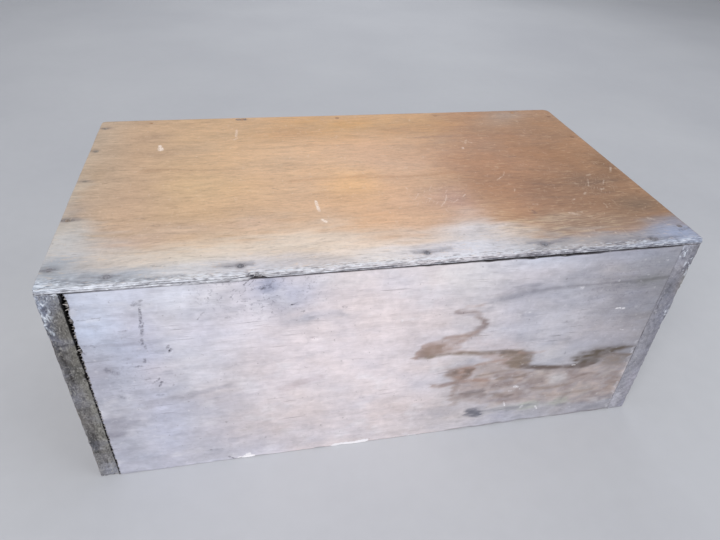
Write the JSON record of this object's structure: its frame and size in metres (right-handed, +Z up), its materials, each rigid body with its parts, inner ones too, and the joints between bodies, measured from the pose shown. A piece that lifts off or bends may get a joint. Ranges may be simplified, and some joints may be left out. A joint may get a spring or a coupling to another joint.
{
  "type": "wooden apple crate",
  "caption": "Rectangular nailed wooden crate with board sides and ends, a thin plywood floor sheet and an open mouth, standing on its rim with the floor sheet on top.",
  "frame": {"origin": "middle of the open rim's outline, at the level of the surface that the crate stands on", "axes": "+X along the side boards towards the right end board, -Y out of the front board, +Z up through the floor sheet; turned over for use, the mouth faces up"},
  "size_m": [0.5, 0.282, 0.205],
  "materials": {
    "floor_plywood": "worn amber varnish, dry and scuffed",
    "side_board_wood": "bare, aged, water stained",
    "end_board_wood": "bare, rough sawn, weathered",
    "nail_iron": "rusted"
  },
  "bodies": {
    "root": {"floor_sheet": "floor_plywood", "front_side_board": "side_board_wood", "back_side_board": "side_board_wood", "left_end_board": "end_board_wood", "right_end_board": "end_board_wood", "floor_nails_front": "nail_iron", "floor_nails_back": "nail_iron", "floor_nails_left": "nail_iron", "floor_nails_right": "nail_iron", "corner_nails_front_left": "nail_iron", "corner_nails_front_right": "nail_iron", "corner_nails_back_left": "nail_iron", "corner_nails_back_right": "nail_iron"}
  },
  "joints": []
}
